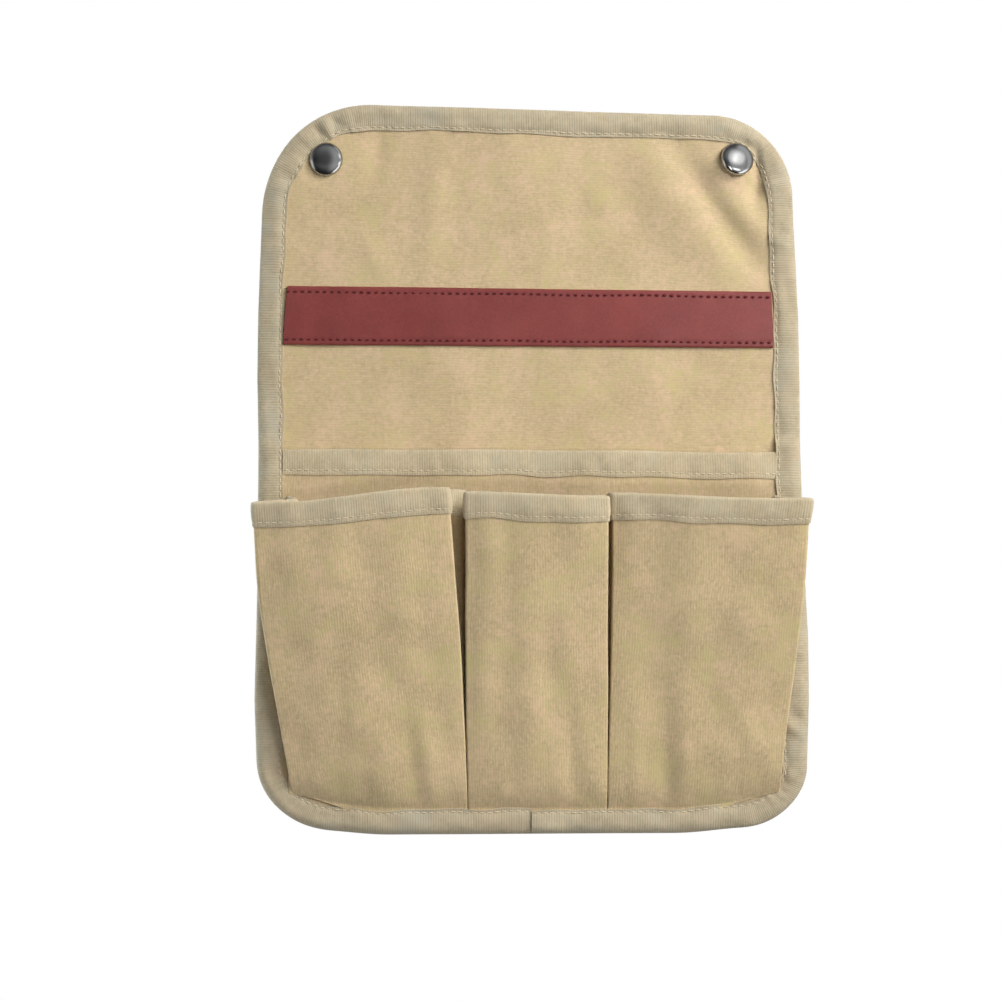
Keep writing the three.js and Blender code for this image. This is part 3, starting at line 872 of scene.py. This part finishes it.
def make_flat_tape():
    end = INNER_EDGE + 0.2

    def surface(stations, heights):
        z = flat_edge(stations) + heights
        middle = on_panel(stations, z, flat_y(stations, z))
        return middle, np.broadcast_to(np.array([0, -1.0, 0]), middle.shape)

    stations = np.linspace(-end, end, 170)
    return make_mouth_tape("flat_pocket", surface, stations, ["flat_pocket_binding"], 33, 3)


# The bellows pockets: each is a strip of canvas, pleated at both sides, with a tape over its top.
# "edges" gives the x of a front's sides by share of its height, "roots" the x of its pleats' roots,
# "round" the radii of its corners, "tilt" how high the two ends of its mouth stand, "rise" the shares
# of its width between which the mouth climbs, "flare" how far the mouth's corners stand out, "raised"
# how far the roots stand over the mouth, "yaw" how far the front is turned, and "folds" its creases:
# start and end as (share of the width, height), width and how far they stand out

POCKETS = {
    "left_pocket": {
        "edges": (
            [(-0.2, -101.5), (0.0, -105.2), (0.68, -118.5), (0.8, -119.7), (1.2, -120.2)],
            [(-0.2, -27.6), (0.1, -28.4), (0.35, -29.7), (0.54, -31.1), (1.0, -35.9), (1.2, -37.9)],
        ),
        "roots": (-106.6, -29.9),
        "round": (1.3, 0.75),
        "tilt": (-3.6, 2.8),
        "rise": (0.12, 0.95),
        "flare": (-0.2, 0.0),
        "raised": (2.6, -1.0),
        "yaw": 0.0,
        "folds": [
            ((0.30, 10), (0.36, 60), 4.5, -0.9),
            ((0.72, 2), (0.70, 44), 4.8, -1.0),
            ((0.55, 4), (0.5, 40), 6.0, 0.8),
            ((0.16, 70), (0.4, 100), 7.0, 0.8),
            ((0.80, 2), (0.79, 38), 4.5, 0.9),
            ((0.1, 11), (0.6, 17), 5.0, 0.45),
        ],
        "seed": 41,
    },
    "middle_pocket": {
        "edges": (
            [(-0.2, -28.0), (0.1, -28.2), (0.35, -28.9), (0.6, -29.0), (1.2, -28.7)],
            [(-0.2, 33.0), (0.1, 33.1), (0.35, 33.1), (0.65, 32.9), (1.2, 32.5)],
        ),
        "roots": (-27.1, 31.9),
        "round": (1.1, 0.75),
        "tilt": (0.9, -0.9),
        "rise": (0.0, 1.0),
        "flare": (0.0, 0.0),
        "raised": (0.4, 0.4),
        "yaw": 0.0,
        "folds": [
            ((0.76, 0), (0.74, 52), 4.6, -1.2),
            ((0.3, 4), (0.34, 30), 4.0, -0.7),
            ((0.5, 6), (0.5, 60), 6.5, 0.8),
        ],
        "seed": 52,
    },
    "right_pocket": {
        "edges": (
            [(-0.2, 33.1), (0.1, 33.3), (0.22, 33.5), (0.35, 33.8), (0.65, 34.5), (1.2, 34.2)],
            [(-0.2, 107.5), (0.0, 109.0), (0.2, 110.6), (0.65, 116.8), (0.85, 118.6), (1.2, 118.8)],
        ),
        "roots": (34.7, 107.4),
        "round": (1.1, 0.9),
        "tilt": (0.3, -1.9),
        "rise": (0.0, 0.8),
        "flare": (0.0, 1.2),
        "raised": (0.4, 1.2),
        "yaw": 4.0,
        "folds": [
            ((0.33, 0), (0.31, 54), 6.0, -1.3),
            ((0.44, 2), (0.42, 40), 5.0, 0.9),
            ((0.14, 5), (0.13, 44), 3.6, 0.6),
            ((0.95, 14), (0.62, 52), 5.0, 0.9),
        ],
        "seed": 63,
    },
}
TAKEN_IN = 3.0

# How a pocket's front stands out: a roll over the seam, a lean, a bow at the mouth and a belly
ROLL_HEIGHT = 11
ROLL = 2.2
LEAN = 0.14
BOW = 2.2
BELLY = 1.8
BELLY_HEIGHT = 26
BELLY_REACH = 22
FOLD_DEPTH = 0.75


def pocket_edge(pocket, side, height):
    """Where a front's outer face ends, on its left (0) or right (1) side."""
    share = np.clip(height / POCKET_HEIGHT, -0.05, 1.1)
    levels, places = zip(*pocket["edges"][side])
    near = [np.interp(share + step, levels, places) for step in np.linspace(-0.09, 0.09, 7)]
    uneven = 0.15 * ripple(height, 0 * height, 44, pocket["seed"] + 5 + side) * share
    flare = pocket["flare"][side] * smooth(height, 122, 139) ** 2
    return sum(near) / len(near) + uneven + flare


def seam_rise(x):
    """How far the bottom seam curves up towards the corners."""
    into = np.clip((np.abs(x) - 56) / 52, 0, 1.2)
    return 7.2 * into**2


def pocket_depth(pocket, across, height):
    """How far the middle of the front's cloth stands from the flat pocket."""
    across, height = np.broadcast_arrays(np.asarray(across, float), height)
    seed = pocket["seed"]
    share = np.clip(height / POCKET_HEIGHT, 0, 1.1)
    rolled = 1 - np.clip(height / ROLL_HEIGHT, 0, 1)
    roll = ROLL * (1 - rolled**2)
    lean = LEAN * np.maximum(height, 0)
    bow = BOW * (1 - across**2) * share
    belly = BELLY * (1 - across**2) * np.exp(-(((height - BELLY_HEIGHT) / BELLY_REACH) ** 2))
    left, right = (pocket_edge(pocket, side, np.zeros(1))[0] for side in (0, 1))
    wide = right - left
    at = (across + 1) / 2 * wide
    folds = 0
    for start, end, width, size in pocket["folds"]:
        ends = [(spot[0] * wide, spot[1]) for spot in (start, end)]
        folds = folds + FOLD_DEPTH * crease(at, height, *ends, width, size)
    loose = 0.5 * ripple(at, height, 50, seed) + 0.16 * ripple(at, height, 19, seed + 3)
    gathers = 0.55 * ripple(at, height * 0.15, 13, seed + 7) * np.exp(-height / 15)
    gathers = gathers * smooth(height, 1, 8)
    hang = 0.5 * ripple(at, height * 0.12, 27, seed + 8) * smooth(height, 10, 60)
    loose = (loose * np.clip(height / 25, 0, 1) + folds + gathers + hang) * (1 - across**6)
    return 0.6 + roll + lean + bow + belly + loose + pocket["yaw"] * across * share


def strip_points(pocket, station, height):
    """Middle of a pocket's strip of cloth at stations from 0 to 5 and heights over the seam:
    0 to 1 is the left pleat, from its root to the front, 1 to 2 the left corner, 2 to 3 the front,
    3 to 4 the right corner and 4 to 5 the right pleat."""
    station, height = np.broadcast_arrays(np.asarray(station, float), np.asarray(height, float))
    edges = [pocket_edge(pocket, side, height) for side in (0, 1)]
    share = np.clip(height / POCKET_HEIGHT, 0, 1.2)
    along_front = np.clip(station - 2, 0, 1)
    across = along_front * 2 - 1
    x_front = edges[0] + (edges[1] - edges[0]) * along_front
    x = x_front
    y = FLAT_FRONT - pocket_depth(pocket, across, height)
    for side, inward in ((0, 1), (1, -1)):
        wall = edges[side] + inward * CANVAS / 2
        depth = pocket_depth(pocket, -inward, height)
        radius = np.minimum(pocket["round"][side] * (0.4 + 0.6 * share), 0.62 * depth)
        x = x + inward * smooth(-inward * across, 0, 1) * (CANVAS / 2 + radius)
        local = station - 1 if side == 0 else 4 - station
        turn = np.clip(local, 0, 1) * math.pi / 2
        in_corner = (local >= 0) & (local <= 1)
        near_y = FLAT_FRONT - depth + radius
        x = np.where(in_corner, wall + inward * radius * (1 - np.cos(turn)), x)
        y = np.where(in_corner, near_y - radius * np.sin(turn), y)
        back = np.clip(-local, 0, 1)
        span = PLEAT_ROOT - near_y
        fold = 0.5 * np.sqrt(np.maximum(PLEAT_WIDTH**2 - span**2, 30.0))
        fold = np.minimum(fold, 2.5 + 0.75 * height)
        root = pocket["roots"][side]
        pleat = wall + (root - wall) * smooth(back, 0, 1)
        pleat = pleat + inward * fold * np.sin(math.pi * back) ** 2
        x = np.where(local < 0, pleat, x)
        y = np.where(local < 0, near_y + span * back, y)
    tilt = pocket["tilt"]
    level = tilt[0] + (tilt[1] - tilt[0]) * smooth(along_front, *pocket["rise"])
    rise = seam_rise(x_front) * (1 - np.clip(height / 60, 0, 1))
    raised = pocket["raised"]
    level = level - 0.1 + raised[0] * np.clip(1 - station, 0, 1)
    level = level + raised[1] * np.clip(station - 4, 0, 1)
    free = -0.9 * np.minimum(height, 0) * smooth(np.abs(x_front), 74, 98)
    z = SEAM + 0.2 * (1 - share) + height + rise + level * share**2 + free
    return np.stack([x, y, z], -1)


# Places across a strip, closer together towards the sides of its front, and heights up it
ON_FRONT = np.linspace(0, 1, 60)[:-1]
STATIONS = np.concatenate([
    np.linspace(0, 1, 26)[:-1],
    np.linspace(1, 2, 8)[:-1],
    2 + (1 - np.cos(math.pi * ON_FRONT)) / 2 * 0.4 + ON_FRONT * 0.6,
    np.linspace(3, 4, 8)[:-1],
    np.linspace(4, 5, 26),
])
HEIGHTS = np.concatenate([
    [-TAKEN_IN, -TAKEN_IN / 2], np.linspace(0, 10, 14), np.linspace(11.5, POCKET_HEIGHT, 62)
])


def make_pocket(name):
    """A pocket's strip, its tape and the tape's stitches."""
    pocket = POCKETS[name]
    station, height = np.meshgrid(STATIONS, HEIGHTS)
    grid = strip_points(pocket, station, height)
    middle = len(STATIONS) // 2
    width = along(grid, 1)
    width = width - width[:, middle : middle + 1]
    places = np.stack([height, width + pocket["roots"][0]], -1)
    strip = cloth(name + "_strip", grid, CANVAS, places, pocket_canvas, 1)
    walls = [name + "_front", name + "_left_gusset", name + "_right_gusset"]
    stand_in(strip, "canvas", *walls)

    def surface(stations, heights):
        step = 0.02
        level = POCKET_HEIGHT + heights
        ahead = strip_points(pocket, np.minimum(stations + step, 5), level)
        behind = strip_points(pocket, np.maximum(stations - step, 0), level)
        run = ahead - behind
        normal = np.stack([run[:, 1], -run[:, 0], 0 * run[:, 0]], -1)
        normal = normal / np.linalg.norm(normal, axis=-1, keepdims=True)
        return strip_points(pocket, stations, level), normal

    bound = [name + "_binding"] + [wall + "_binding" for wall in walls[1:]]
    seed = pocket["seed"]
    return strip, *make_mouth_tape(name, surface, STATIONS, bound, seed + 1, seed)


# Snap fasteners

CAP_FOOT = -CANVAS - 0.45
CAP_RADIUS = 7.4
CAP_HEIGHT = 3.0
CAP_BULGE = 2.6


def tipped(points, tilt, proud):
    """A cap's points with its dome tipped back at the top and on the right by two angles, and
    moved forward. Its barrel stays straight."""
    about_x, about_z = tilt
    radius = np.hypot(points[:, 0], points[:, 2])
    dome = np.maximum(smooth(radius, 2.1, 6.0), smooth(CAP_FOOT - points[:, 1], 0, 0.5))[:, None]
    x, y, z = points[:, 0], points[:, 1] - CAP_FOOT, points[:, 2]
    cos, sin = math.cos(about_z), math.sin(about_z)
    x, y = x * cos - y * sin, x * sin + y * cos
    cos, sin = math.cos(about_x), math.sin(about_x)
    y, z = y * cos + z * sin, z * cos - y * sin
    turned = np.stack([x, y + CAP_FOOT - proud, z], -1)
    return points + (turned - points) * dome


def lathe(name, profile, node, finish, tilt=None, proud=0.0, sides=72):
    """A turned piece on the axis of its node. Its profile is (radius, y), from front to back."""
    low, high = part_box(node)
    centre = (low + high) / 2 / MM
    angles = np.linspace(0, 2 * math.pi, sides, endpoint=False)
    points, faces, rings = [], [], []
    for radius, y in profile:
        around = angles if radius else [0.0]
        rings.append([len(points) + k % len(around) for k in range(sides + 1)])
        points += [(radius * math.cos(a), y, radius * math.sin(a)) for a in around]
    for front, back in zip(rings, rings[1:]):
        for k in range(sides):
            corners = (front[k], back[k], back[k + 1], front[k + 1])
            faces.append(tuple(dict.fromkeys(corners)))
    points = np.array(points, float)
    if tilt:
        points = tipped(points, tilt, proud)
    points += np.array([centre.x, 0, centre.z])
    made = mesh_object(name, points, faces, finish, sharp=60)
    stand_in(made, "snap_metal", node)
    return made


def cap_profile():
    """A domed cap, its barrel and the barrel's flare."""
    power = 2 / CAP_BULGE
    dome = [
        (CAP_RADIUS * math.sin(a) ** power, CAP_FOOT - CAP_HEIGHT * math.cos(a) ** power)
        for a in np.linspace(0, math.pi / 2, 40)
    ]
    under = [(radius, CAP_FOOT + 0.1) for radius in (7.2, 6.5, 2.0)]
    return dome + under + [(2.0, 0.7), (2.4, 0.7), (2.4, 1.05), (0, 1.1)]


# Turned parts of a snap behind its cap: radius and y, the socket's going all round its section
SOCKET = [
    (2.35, 0.02), (6.9, 0.02), (7.1, 0.2), (7.1, 0.5), (6.9, 0.7), (5.6, 0.85), (5.3, 1.2),
    (5.25, 3.2), (5.05, 3.5), (4.75, 3.6), (3.2, 3.6), (3.0, 3.45), (3.0, 2.95), (3.9, 2.95),
    (3.9, 1.5), (3.0, 1.5), (3.0, 0.75), (2.35, 0.75), (2.35, 0.02),
]
STUD = [
    (1.25, 0.02), (5.6, 0.02), (5.8, 0.2), (5.8, 0.5), (5.6, 0.7), (2.4, 0.8), (1.75, 1.2),
    (1.6, 1.7), (1.6, 2.75), (2.0, 2.85), (2.1, 2.95), (2.0, 3.1), (1.5, 3.25), (0, 3.3),
]
POST = [
    (0, -1.8), (4.2, -1.8), (4.45, -1.65), (4.5, -1.4), (4.5, -1.02), (0.9, -1.02), (0.9, 2.4),
    (0, 2.4),
]


def spring_ring(name, node):
    """An open ring of spring wire in the socket's groove."""
    low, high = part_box(node)
    centre = (low + high) / 2 / MM
    ring_radius = 3.1
    wire = (0.3, 0.28)
    sides = 10
    points, faces = [], []
    turns = np.radians(np.linspace(36, 324, 49))
    for turn in turns:
        for angle in np.linspace(0, 2 * math.pi, sides, endpoint=False):
            radius = ring_radius + wire[0] * math.cos(angle)
            points.append((
                centre.x + radius * math.cos(turn),
                centre.y + wire[1] * math.sin(angle),
                centre.z + radius * math.sin(turn),
            ))
    for start in range(0, len(points) - sides, sides):
        for k in range(sides):
            n = (k + 1) % sides
            faces.append((start + k, start + n, start + sides + n, start + sides + k))
    faces.append(tuple(range(sides - 1, -1, -1)))
    faces.append(tuple(range(len(points) - sides, len(points))))
    made = mesh_object(name, points, faces, dull_nickel)
    stand_in(made, "snap_metal", node)
    return made


# Building the bag

panel = make_panel()
edge_tape, edge_grid = make_edge_tape()
edge_stitches = make_edge_stitches(edge_grid)
band = make_band()
band_stitches = make_band_stitches()
for piece in (panel, edge_tape, edge_stitches, band, band_stitches):
    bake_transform(piece)

flat_pocket = make_flat_pocket()
flat_tape, flat_stitches = make_flat_tape()
for piece in (flat_pocket, flat_tape, flat_stitches):
    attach(piece, "bag")

pockets = {}
for pocket_name in POCKETS:
    pockets[pocket_name] = make_pocket(pocket_name)
    for piece in pockets[pocket_name]:
        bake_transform(piece)

# The right cap sits askew in the cloth: angles about x and z, and how far it stands forward
CAP_TILT = {"left": (-0.02, -0.03), "right": (0.19, 0.23)}
CAP_PROUD = {"left": 0.0, "right": 0.8}
for side in ("left", "right"):
    cap = lathe(
        "cap_" + side, cap_profile(), "snap_cap_" + side, nickel, CAP_TILT[side], CAP_PROUD[side], 96
    )
    socket = lathe("socket_" + side, SOCKET, "snap_socket_" + side, dull_nickel)
    spring = spring_ring("spring_" + side, "snap_spring_" + side)
    for piece in (cap, socket, spring):
        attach(piece, "flap")
    stud = lathe("stud_" + side, STUD, "snap_stud_" + side, dull_nickel)
    post = lathe("post_" + side, POST, "stud_post_" + side, dull_nickel)
    for piece in (stud, post):
        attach(piece, "bag")

# Camera, light and background

def make_camera():
    """Straight in front of the bag."""
    distance = 0.95
    across = 0.44175
    target = (-0.0137, 0.0, -0.0806)
    data = bpy.data.cameras.new("camera")
    data.sensor_width = 36.0
    data.lens = data.sensor_width * distance / across
    made = linked("camera", data)
    made.location = (target[0], target[1] - distance, target[2])
    made.rotation_euler = (math.pi / 2, 0, 0)
    bpy.context.scene.camera = made


def make_lamp(name, place, target, size, power, tint=(1, 1, 1), mirrored=False, roll=0.0):
    """A soft lamp, or one that is seen in metal and leather alone."""
    data = bpy.data.lights.new(name, "AREA")
    data.shape = "ELLIPSE" if mirrored else "RECTANGLE"
    data.size, data.size_y = size
    data.energy = power
    data.color = tint
    made = linked(name, data)
    made.location = place
    direction = Vector(target) - Vector(place)
    made.rotation_euler = direction.to_track_quat("-Z", "Y").to_euler()
    made.rotation_euler.rotate_axis("Z", roll)
    made.visible_camera = False
    made.visible_diffuse = not mirrored
    made.visible_glossy = mirrored


def make_world():
    """White behind the bag; metal and leather mirror a dim room with a window and pale walls."""
    world = bpy.data.worlds.new("room")
    bpy.context.scene.world = world
    world.use_nodes = True
    world.node_tree.nodes.clear()
    made = Nodes(world.node_tree)
    way = made.node("ShaderNodeTexCoord").out("Generated")
    split = made.node("ShaderNodeSeparateXYZ", inputs={0: way})
    x, y, z = split.out("X"), split.out("Y"), split.out("Z")
    rays = made.node("ShaderNodeLightPath")
    ahead = made.step(y, -0.75, -0.45, 1.0, 0.0)
    above = made.step(z, 0.06, 0.57, 0.085, 0.27)
    below = made.step((z + 0.16).math("ABSOLUTE"), 0.0, 0.2, 0.085, 0.0)
    ground = made.step(z, -0.73, -0.33, 0.25, 1.0)
    glow = made.step(x, -0.14, 0.26, 0.0, 0.42) * made.step(z, 0.17, 0.62, 1.0, 0.45)
    front = ((above + below) * made.step(x, -0.64, -0.14, 0.4, 1.0) + glow) * ground * ahead
    ring = made.step(y, -0.62, -0.48) * made.step(y, -0.2, -0.05, 1.0, 0.3)
    right = ring * made.step(x, 0.3, 0.5) * made.step(z, -0.45, -0.15, 1.0, 0.25)
    left = made.step(x, -0.9, -0.75, 1.0, 0.0) * made.step(z, -0.7, -0.4)
    left = left * made.step(z, -0.1, 0.2, 1.0, 0.15)
    rest = made.step(z, -0.6, 0.2, 0.03, 0.12) * (1 - ahead) + made.step(y, 0.1, 0.6, 0.0, 0.3)
    seen = front + right * 2.2 + left * 0.9 + rest
    behind = made.step(y, -0.05, 0.6, 0.06, 0.8)
    around = behind + made.step(y - x * 0.45, -0.1, 0.45) * made.step(y, 0.1, 0.6, 1.8, 0.0)

    def background(tint, strength):
        return made.node("ShaderNodeBackground", inputs={"Color": tint, "Strength": strength})

    plain = background(colour(0.93, 0.96, 1.0), around)
    mirror = background(colour(0.97, 0.98, 1.0), seen)
    white = background(colour(1, 1, 1), 1.0)
    lit = made.node("ShaderNodeMixShader", inputs={0: rays.out("Is Glossy Ray"), 1: plain, 2: mirror})
    whole = made.node("ShaderNodeMixShader", inputs={0: rays.out("Is Camera Ray"), 1: lit, 2: white})
    made.node("ShaderNodeOutputWorld", inputs={0: whole})


def make_floor():
    """A pale floor below the hanging bag, which fades into the white background."""
    level = -0.52
    size = 6.0
    corners = [(-size, -size, level), (size, -size, level), (size, size, level), (-size, size, level)]
    mesh = bpy.data.meshes.new("floor")
    mesh.from_pydata(corners, [], [(0, 1, 2, 3)])
    made = linked("floor", mesh)
    finish = Finish("pale_floor", {"Base Color": colour(0.86, 0.86, 0.86), "Roughness": 0.9})
    split = finish.node("ShaderNodeSeparateXYZ", inputs={0: finish.object_place()})
    x, y = split.out("X"), split.out("Y")
    far = finish.step((x * x + y * y).math("SQRT"), 0.3, 0.95)
    seen = finish.node("ShaderNodeLightPath").out("Is Camera Ray")
    glow = finish.node("ShaderNodeEmission", inputs={"Color": colour(1, 1, 1), "Strength": 1.0})
    pale = Field(finish, finish.shader.outputs[0])
    both = finish.node("ShaderNodeMixShader", inputs={0: far * seen, 1: pale, 2: glow})
    finish.tree.links.new(both.socket, finish.tree.nodes["Material Output"].inputs[0])
    mesh.materials.append(finish.material)
    made.visible_glossy = False
    made.visible_diffuse = False


make_camera()
# Lamps in metres and watts. The mirrored ones are the lights that the caps show
BAG = (0, 0, -0.07)
make_lamp("side", (1.9, -1.2, 1.2), BAG, (0.8, 0.8), 44.0, (1.0, 0.985, 0.95))
make_lamp("near", (0.5, -0.35, 0.45), BAG, (0.25, 0.25), 1.2, (1.0, 0.985, 0.95))
make_lamp("window", (0.9, -1.35, 0.45), BAG, (0.6, 0.6), 14.5)
make_lamp("low", (0.2, -1.5, -0.4), BAG, (0.5, 0.15), 4.1)
CAPS = (0, 0, SNAP_Z * MM)
make_lamp("card", (0.15, -0.17, 0.015), CAPS, (0.10, 0.06), 0.034, mirrored=True)
make_lamp("glow_wide", (0.15, -0.17, 0.162), CAPS, (0.17, 0.13), 0.024, mirrored=True)
make_lamp("glow_middle", (0.172, -0.172, 0.165), CAPS, (0.12, 0.08), 0.0125, mirrored=True)
make_lamp("glow_core", (0.178, -0.174, 0.165), CAPS, (0.07, 0.035), 0.006, mirrored=True, roll=0.7)
make_lamp("crescent", (0.080, -0.04, 0.05), CAPS, (0.026, 0.022), 0.0046, mirrored=True)
make_lamp("rim", (-1.2, 0.3, -0.1), BAG, (0.9, 0.9), 9.0, (0.76, 0.9, 1.0))
make_lamp("back", (0.5, 1.5, 0.7), BAG, (1.0, 1.0), 6.0, (1.0, 0.99, 0.97))
make_world()
make_floor()
bpy.context.scene.view_settings.view_transform = "Standard"
